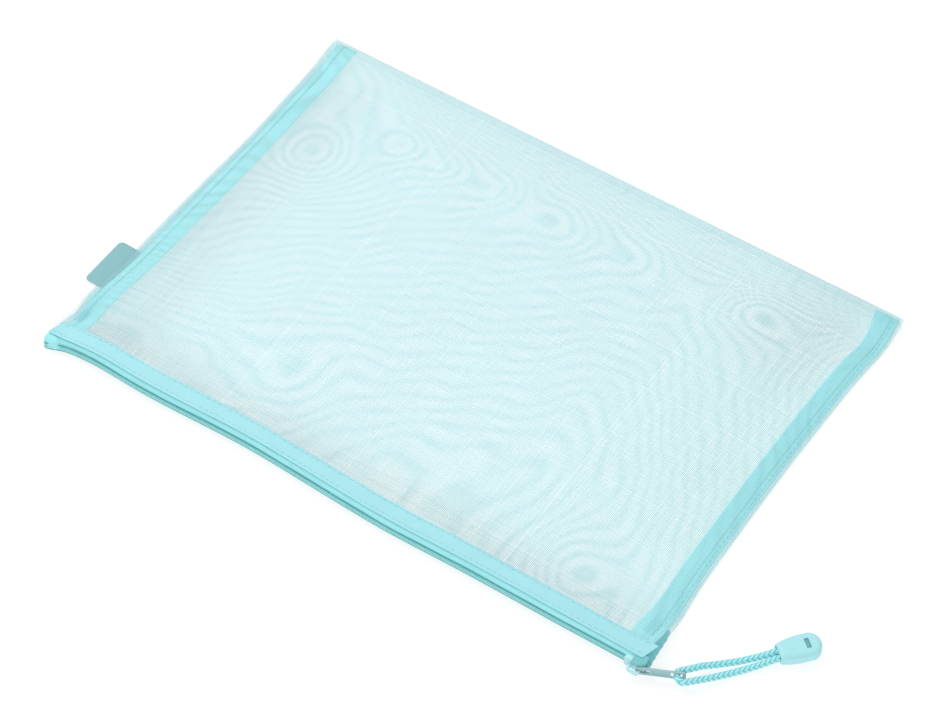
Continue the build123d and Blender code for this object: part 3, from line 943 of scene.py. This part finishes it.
class WALLET_OT_label(Operator):
    """Fold the bare label into the left seam."""

    bl_idname = "wallet.label"
    bl_label = "Side label"

    def execute(self, context):
        # Two corners are circles, the rim thins by high powers, and the free end lifts by a square
        low, high = LABEL
        share, across = grid_of(np.linspace(0, 1, 33), np.linspace(-1, 1, 41))
        x = high[0] + share ** 0.8 * (low[0] - high[0])
        corner = 2.4
        past = np.clip(low[0] + corner - x, 0, corner)
        inset = corner - np.sqrt(np.clip(corner ** 2 - past ** 2, 0, None))
        half = (high[1] - low[1]) / 2
        y = (low[1] + high[1]) / 2 + across * (half - inset)
        rim = np.maximum(np.abs(across) ** 14, share ** 18)
        middle = (low[2] + high[2]) / 2 + 0.35 * np.clip(share - 0.4, 0, None) ** 2
        thick = (high[2] - low[2]) / 2 * (1 - 0.55 * rim)
        top = xyz(x, y, middle + thick)
        under = xyz(x, y, middle - thick)
        shape = slab(top[:, ::-1], under[:, ::-1])
        finish = woven_cloth("coated_label_cloth", context.scene.wallet_colours.label, 0.7, 0.45, 0.03)
        piece = add_piece("label", shape, finish)
        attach(piece, "pouch")
        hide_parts("side_label")
        return {"FINISHED"}


class WALLET_OT_zip_tapes(Operator):
    """Hang the zip's two tapes from the facings to the coil, and fold the cloth at the zip's ends."""

    bl_idname = "wallet.zip_tapes"
    bl_label = "Zip tapes"

    def tape(self, xs, up):
        """A bent strip: from under the facing, slanting out to the coil and in behind it."""
        path_y = np.array([8.4, 5.0, 1.4, 0.2, -0.5, -1.05, -1.25, -1.1, -0.75]) + FRONT_Y
        path_z = np.array([3.5, 3.5, 3.5, 3.4, 2.9, 2.1, 1.55, 1.0, 0.35])
        knots = np.linspace(0, 1, len(path_y))
        fine = np.linspace(0, 1, 33)
        y = np.interp(fine, knots, path_y)
        away = np.interp(fine, knots, path_z)
        x, y = grid_of(xs, y)
        low = 1 - away / path_z.max()
        z = CHAIN_Z + up * away - zip_sag(x) * low - (droop(x, y) * (1 - low) if up > 0 else 0)
        wander = 0.12 * np.sin(x / 17) * np.sin(x / 7.1) + zip_bow(x) - zip_swing(x) * low
        return self.thick(xyz(x, y + wander, z), up)

    def thick(self, face, up):
        """A strip with a cloth's thickness: the face moved to both sides along the normals of its path."""
        half = 0.2
        step = np.gradient(face, axis=1)
        normal = xyz(0 * step[..., 0], step[..., 2], -step[..., 1])
        normal /= np.linalg.norm(normal, axis=-1, keepdims=True)
        outside, inside = face + half * normal * up, face - half * normal * up
        return slab(outside[:, ::up], inside[:, ::up])

    def flap(self):
        """The tape's cut end, laid forward over the slider's corner and down in front, with small folds.

        Its path in Y and Z is a line through a few points. Its right corner draws back beside the tab."""
        half_width, top_z, low_z, tab_rise = 3.1, 8.6, 5.75, 1.6
        xs = HALF_WIDTH + np.linspace(-half_width, half_width, 41)
        x, share = grid_of(xs, np.linspace(0, 1, 33))
        knots = np.linspace(0, 1, 6)
        y = FRONT_Y + np.interp(share, knots, (2.0, -0.5, -2.6, -3.4, -3.6, -3.6))
        y = y + 1.8 * ease((x - HALF_WIDTH) / 3) * ease(2 * share)
        low = low_z + tab_rise * ease((x - HALF_WIDTH + 1.4) / 0.9)
        z = low + (top_z - low) * np.interp(share, knots, (1.0, 1.0, 1.0, 0.85, 0.45, 0.0))
        fold = 0.15 * np.sin(2 * np.pi * x / 1.6 + 3 * share)
        return self.thick(xyz(x, y + fold * share, z + fold), 1)

    def nose(self, middle, reach):
        """The rounded end of folded tape: an ellipsoid with its sines and cosines to the power 0.8."""
        power = 0.8
        rise, turn = grid_of(np.linspace(-np.pi / 2, np.pi / 2, 25)[1:-1], once_round(48))
        round_x, round_y, round_z = (
            np.sign(t) * np.abs(t) ** power for t in (np.cos(turn), np.sin(turn), np.sin(rise))
        )
        level = np.cos(rise) ** power
        points = xyz(level * round_x, level * round_y, round_z) * np.array(reach)
        points, quads = capped(points + np.array(middle))
        return points, quads[:, ::-1]

    def stop(self):
        """The closed right end: a cloth wall from the zip round to the side seam, with upright folds.

        Its plan is a line through a few points, and its height follows the facing and then the gauze. It
        swells by a sine and leans in over its top by the cube of the height."""
        knots = np.array([
            (2.5, -1.6), (3.1, 0.1), (3.1, 2.6), (2.7, 6.1),
            (2.4, 9.6), (2.2, 13.1), (1.9, 17.0), (1.2, 22.0),
        ]) + np.array((HALF_WIDTH, FRONT_Y))
        run = np.linspace(0, 1, 81)
        stations = np.linspace(0, 1, len(knots))
        plan = np.stack([np.interp(run, stations, knots[:, k]) for k in (0, 1)], axis=-1)
        foot, tuck = 0.5, 0.4
        top = np.minimum(FACING[0, 2], upper_z(HALF_WIDTH, plan[:, 1])) - tuck
        share = np.linspace(0, 1, 15)
        folds, fold_depth, bulge = 7, 0.6, 0.5
        fold = fold_depth * np.sin(2 * np.pi * folds * run)[:, None] * np.sin(np.pi * share)
        swell = bulge * np.sin(np.pi * share) + fold
        lean = np.interp(run, (0, 0.2, 0.6, 1), (3.2, 3.6, 2.6, 1.0))[:, None] * share ** 3
        x = plan[:, :1] + swell - lean
        y = plan[:, 1:] - swell / 2
        z = foot + (top - foot)[:, None] * share
        outside = xyz(x, y, z)
        inwards = np.array((-0.4, 0.2, 0))
        return slab(outside, outside + inwards)

    def execute(self, context):
        finish = woven_cloth("woven_zip_tape", context.scene.wallet_colours.tape, 0.7, 0.6, 0.08)
        reach = TAPE[1, 0]
        for side, name in ((-1, "upper_tape_left"), (1, "upper_tape_right")):
            xs = np.linspace(0, reach, 120) if side > 0 else np.linspace(-reach, 0, 120)
            piece = add_piece(name, self.tape(xs, 1), finish)
            bow(piece)
            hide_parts("upper_zip_tape")
        lower = self.tape(np.linspace(-reach, reach, 240), -1)
        nose = self.nose(middle=(-HALF_WIDTH + 3.5, FRONT_Y - 0.4, 3.3), reach=(5.1, 4.1, 3.1))
        # The tape's end is darker than the tape by painted shade, and duller
        cut = woven_cloth("zip_end_painted_shade", context.scene.wallet_colours.shaded_end_colour, 0.7, 0.7, 0.08)
        for name, shape, skin in (
            ("lower_tape", joined([lower, nose]), finish),
            ("zip_end", joined([self.flap(), self.stop()]), cut),
        ):
            piece = add_piece(name, shape, skin)
            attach(piece, "pouch")
            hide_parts("lower_zip_tape")
        return {"FINISHED"}


class WALLET_OT_zip_coils(Operator):
    """Wind the zip's two nylon coils."""

    bl_idname = "wallet.zip_coils"
    bl_label = "Zip coils"

    def coil(self, start, stop, up, pitch, wire):
        """A flattened helix along X: Y and Z turn once for each pitch, half a turn apart on the two sides.

        A filler cord runs through it."""
        x = np.arange(start, stop, pitch / 10)
        turn = 2 * np.pi * x / pitch + (np.pi if up > 0 else 0)
        half_depth, half_height, filler_radius = 0.6, 1.05, 0.35
        radial = xyz(0 * x, half_depth * np.cos(turn), half_height * np.sin(turn))
        forward, rise = 1.5, 0.62
        y = FRONT_Y - forward + zip_bow(x) - zip_swing(x)
        line = xyz(x, y, CHAIN_Z + up * rise - zip_sag(x))
        points = tube(line + radial, wire / 2, 6, radial)
        filler = tube(line[::12], filler_radius, 8, UPWARDS)
        return joined([capped(points), capped(filler)])

    def sewing(self, start, stop, up):
        """The thread that holds a coil to its tape: a fine tube along the coil's outer edge."""
        forward, rise, radius = 1.75, 1.95, 0.22
        x = np.arange(start, stop, 1.5)
        y = FRONT_Y - forward + zip_bow(x) - zip_swing(x)
        line = xyz(x, y, CHAIN_Z + up * rise - zip_sag(x))
        points = tube(line, radius, 6, UPWARDS)
        return capped(points)

    def execute(self, context):
        sizes = context.scene.wallet_sizes
        pitch, wire = sizes.coil_pitch / MM, sizes.coil_wire / MM
        finish = moulded("nylon_coil", context.scene.wallet_colours.coil, 0.4)
        # The coil thread's dark colour is painted shade along the line where coil meets tape
        dark = moulded("polyester_coil_thread", context.scene.wallet_colours.coil_thread, 0.6)
        left, right = LOWER_CHAIN[0, 0] - 2, LOWER_CHAIN[1, 0]
        halves = ((-1, "upper_coil_left", left, 0), (1, "upper_coil_right", 0, right))
        for side, name, start, stop in halves:
            for label, shape, skin in (
                (name, self.coil(start, stop, 1, pitch, wire), finish),
                (name.replace("coil", "coil_thread"), self.sewing(start, stop, 1), dark),
            ):
                piece = add_piece(label, shape, skin)
                bow(piece)
                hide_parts("upper_zip_teeth")
        for label, shape, skin in (
            ("lower_coil", self.coil(left, right, -1, pitch, wire), finish),
            ("lower_coil_thread", self.sewing(left, right, -1), dark),
        ):
            piece = add_piece(label, shape, skin)
            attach(piece, "pouch")
            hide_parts("lower_zip_teeth")
        return {"FINISHED"}


class WALLET_OT_stitches(Operator):
    """Sew the rows of stitches and the bar tacks."""

    bl_idname = "wallet.stitches"
    bl_label = "Stitches"

    def row(self, places, along, size):
        """Spindle-shaped stitches: circles that swell and close along a length that dips at both ends."""
        span, width = size
        share, turn = grid_of(np.linspace(0, 1, 7), once_round(6))
        swell = width / 2 * np.sqrt(np.clip(1 - (2 * share - 1) ** 4, 0, None))
        lengthwise = (share - 0.5) * span
        sideways = swell * np.cos(turn)
        upwards = 0.7 * swell * np.sin(turn) - 0.25 * width * (2 * share - 1) ** 2
        side = np.cross(UPWARDS, along)
        points = (
            places[:, None, None] + lengthwise[..., None] * np.asarray(along)
            + sideways[..., None] * side + upwards[..., None] * UPWARDS
        )
        quads = grid_quads(*share.shape, wrap=True)[:, ::-1]
        starts = np.arange(len(places)) * share.size
        return points.reshape(-1, 3), (quads[None] + starts[:, None, None]).reshape(-1, 4)

    def facing_rows(self, low, high, z, size, pitch):
        """Two rows along the facing, near its front and back edges."""
        xs = np.arange(low + pitch / 2, high, pitch)
        rows = []
        front, back = FRONT_Y + 1.6, FACING_BACK_Y - 1.1
        for y in (front, back):
            wander = 0.08 * np.sin(xs * 1.7)
            sway = wander + 0.25 * np.sin(xs / 21) * (y == back)
            sag = droop(xs, y) if z > CHAIN_Z else 0
            places = xyz(xs, y + sway, z - sag + 0 * xs)
            rows.append(self.row(waved(places), (1.0, 0.0, 0.0), size))
        return joined(rows)

    def execute(self, context):
        sizes = context.scene.wallet_sizes
        thread = 0.45
        pitch, size = sizes.stitch_pitch / MM, (sizes.stitch_length / MM, thread)
        finish = moulded("polyester_sewing_thread", context.scene.wallet_colours.thread, 0.6)
        reach = HALF_WIDTH - 1.0
        top, under = FACING[1, 2] + 0.05, 1.45
        for side, name in ((-1, "facing_stitches_left"), (1, "facing_stitches_right")):
            low, high = sorted((0, side * reach))
            piece = add_piece(name, self.facing_rows(low, high, top, size, pitch), finish)
            bow(piece)
            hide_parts("upper_facing_stitches")
        lower = self.facing_rows(-reach, reach, under, size, pitch)
        piece = add_piece("facing_stitches_lower", lower, finish)
        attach(piece, "pouch")
        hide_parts("lower_facing_stitches")

        margin, sunk = 2, 0.25
        ys = np.arange(FLAT_BACK_Y + margin, FOLD_Y - margin, pitch)
        for side, name, node in (
            (-1, "seam_stitches_left", "left_seam_stitches"),
            (1, "seam_stitches_right", "right_seam_stitches"),
        ):
            rows = []
            outer_edge = WALLET_OT_bindings.edges(side, ys)[1]
            for x in ((SEAM[0, 0] + SEAM[1, 0]) / 2 + 0 * ys, outer_edge - SEAM_INSET):
                places = xyz(side * x, ys, upper_z(x, ys) - sunk)
                rows.append(self.row(waved(places), (0.0, 1.0, 0.0), size))
            piece = add_piece(name, joined(rows), finish)
            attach(piece, "pouch")
            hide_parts(node)

        span, width, proud = 1.9, 0.35, 0.4
        for side, name in ((-1, "bar_tack_left"), (1, "bar_tack_right")):
            across = side * np.linspace(TACKS[1, 0] - 0.4, TACKS[1, 0] - 3.8, 3)
            xs, ys = grid_of(across, np.arange(TACKS[0, 1] + span / 2, TACKS[1, 1], span))
            places = xyz(xs, ys, upper_z(xs, ys) + proud).reshape(-1, 3)
            piece = add_piece(name, self.row(waved(places), (0.0, 1.0, 0.0), (span, width)), finish)
            bow(piece)
            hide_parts("corner_bar_tacks")
        return {"FINISHED"}


OPERATORS = (
    WALLET_OT_stage, WALLET_OT_pull_cord, WALLET_OT_fittings, WALLET_OT_gauze, WALLET_OT_bindings,
    WALLET_OT_facings, WALLET_OT_label, WALLET_OT_zip_tapes, WALLET_OT_zip_coils, WALLET_OT_stitches,
)


class WALLET_PT_panel(Panel):
    """Sizes, colours and pieces of the wallet."""

    bl_idname = "WALLET_PT_panel"
    bl_label = "Mesh document wallet"
    bl_space_type = "VIEW_3D"
    bl_region_type = "UI"
    bl_category = "Wallet"

    def draw(self, context):
        for group in (context.scene.wallet_sizes, context.scene.wallet_colours):
            for name in group.__annotations__:
                self.layout.prop(group, name)
        for operator in OPERATORS:
            self.layout.operator(operator.bl_idname)


CLASSES = (WalletSizes, WalletColours, *OPERATORS, WALLET_PT_panel)


def register():
    for item in CLASSES:
        bpy.utils.register_class(item)
    bpy.types.Scene.wallet_sizes = PointerProperty(type=WalletSizes)
    bpy.types.Scene.wallet_colours = PointerProperty(type=WalletColours)


def unregister():
    del bpy.types.Scene.wallet_colours
    del bpy.types.Scene.wallet_sizes
    for item in reversed(CLASSES):
        bpy.utils.unregister_class(item)


def main():
    register()
    for operator in OPERATORS:
        group, name = operator.bl_idname.split(".")
        getattr(getattr(bpy.ops, group), name)()


if __name__ == "__main__":
    main()
